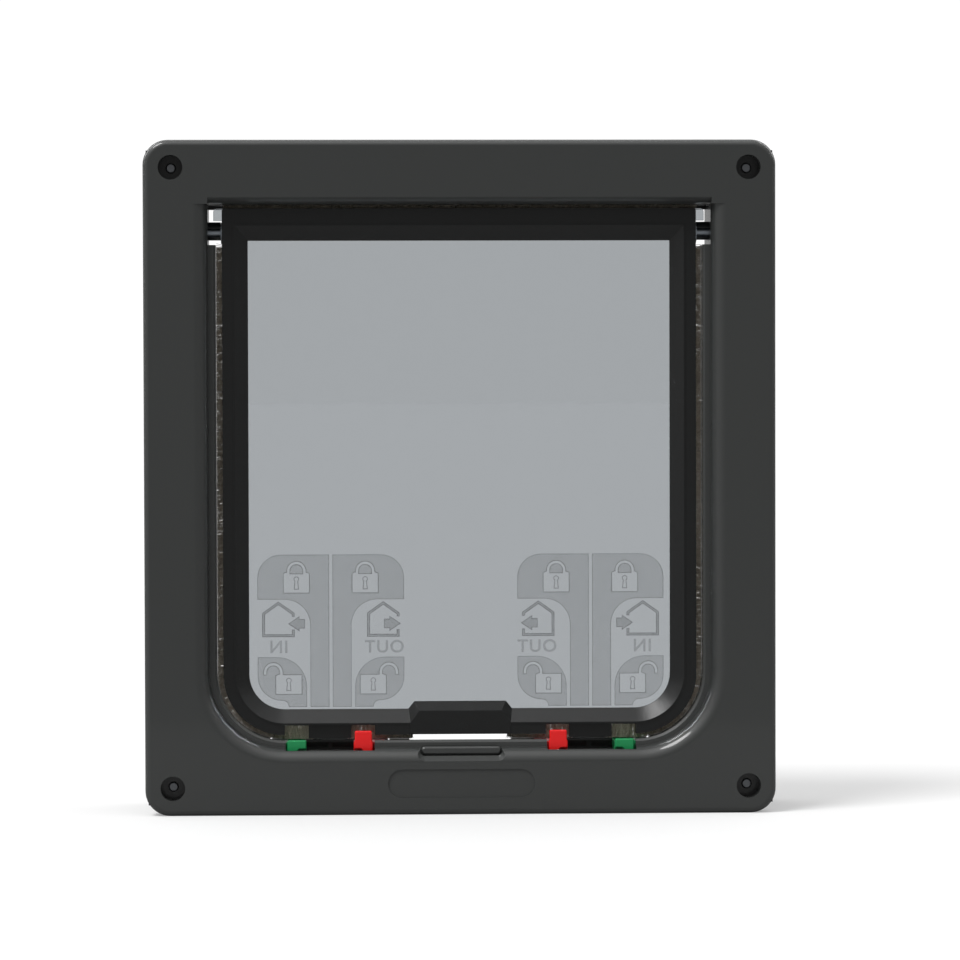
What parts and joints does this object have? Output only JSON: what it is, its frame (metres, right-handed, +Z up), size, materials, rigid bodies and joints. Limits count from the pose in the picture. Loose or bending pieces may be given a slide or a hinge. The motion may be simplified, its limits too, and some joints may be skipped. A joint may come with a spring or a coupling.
{
  "type": "lockable cat flap",
  "caption": "Lockable cat flap: black front and rear door frames with a smoke-tinted swinging flap, pile seal, magnet and red and green sliding locks in the sill.",
  "frame": {"origin": "midway between the outer and inner faces and between the sides, on the surface that the frames stand on", "axes": "+Z up, +Y from outdoors to indoors through the door, +X to the right for a viewer outdoors"},
  "size_m": [0.252, 0.061, 0.269],
  "materials": {
    "frame_plastic": "satin moulded black",
    "surround_plastic": "satin moulded black",
    "clear_sheet": "smoke-tinted clear",
    "pile": "grey-brown pile",
    "out_lock_red": "glossy moulded red",
    "in_lock_green": "glossy moulded green",
    "steel": "zinc-plated",
    "magnet": "plated bar magnet",
    "bearing_plastic": "plain"
  },
  "bodies": {
    "door_frames": {"front_frame": "frame_plastic", "rear_frame": "frame_plastic", "fixing_screws": "steel", "catch_bar": "frame_plastic", "sill_magnet": "magnet", "hinge_bearing_left": "bearing_plastic", "lock_rail_left": "frame_plastic", "hinge_bearing_right": "bearing_plastic", "lock_rail_right": "frame_plastic"},
    "flap": {"flap_panel": "clear_sheet", "front_surround": "surround_plastic", "rear_surround": "surround_plastic", "flap_magnet": "magnet", "hinge_pin_left": "steel", "hinge_pin_right": "steel", "brush_top": "pile", "brush_left": "pile", "brush_right": "pile", "brush_bottom_left": "pile", "brush_bottom_right": "pile"},
    "lock_out_left_slider": {"lock_out_left": "out_lock_red"},
    "lock_out_right_slider": {"lock_out_right": "out_lock_red"},
    "lock_in_left_slider": {"lock_in_left": "in_lock_green"},
    "lock_in_right_slider": {"lock_in_right": "in_lock_green"}
  },
  "joints": [
    {"name": "flap_swing", "type": "hinge", "parent": "door_frames", "child": "flap", "pos_m": [0, -0.016, 0.2323], "axis": [1, 0, 0], "range_deg": [-80, 80]},
    {"name": "lock_in_left_slide", "type": "slide", "parent": "door_frames", "child": "lock_in_left_slider", "axis": [1, 0, 0], "range_m": [0, 0.0083]},
    {"name": "lock_out_left_slide", "type": "slide", "parent": "door_frames", "child": "lock_out_left_slider", "axis": [-1, 0, 0], "range_m": [0, 0.0083]},
    {"name": "lock_out_right_slide", "type": "slide", "parent": "door_frames", "child": "lock_out_right_slider", "axis": [1, 0, 0], "range_m": [0, 0.0083]},
    {"name": "lock_in_right_slide", "type": "slide", "parent": "door_frames", "child": "lock_in_right_slider", "axis": [-1, 0, 0], "range_m": [0, 0.0083]}
  ]
}
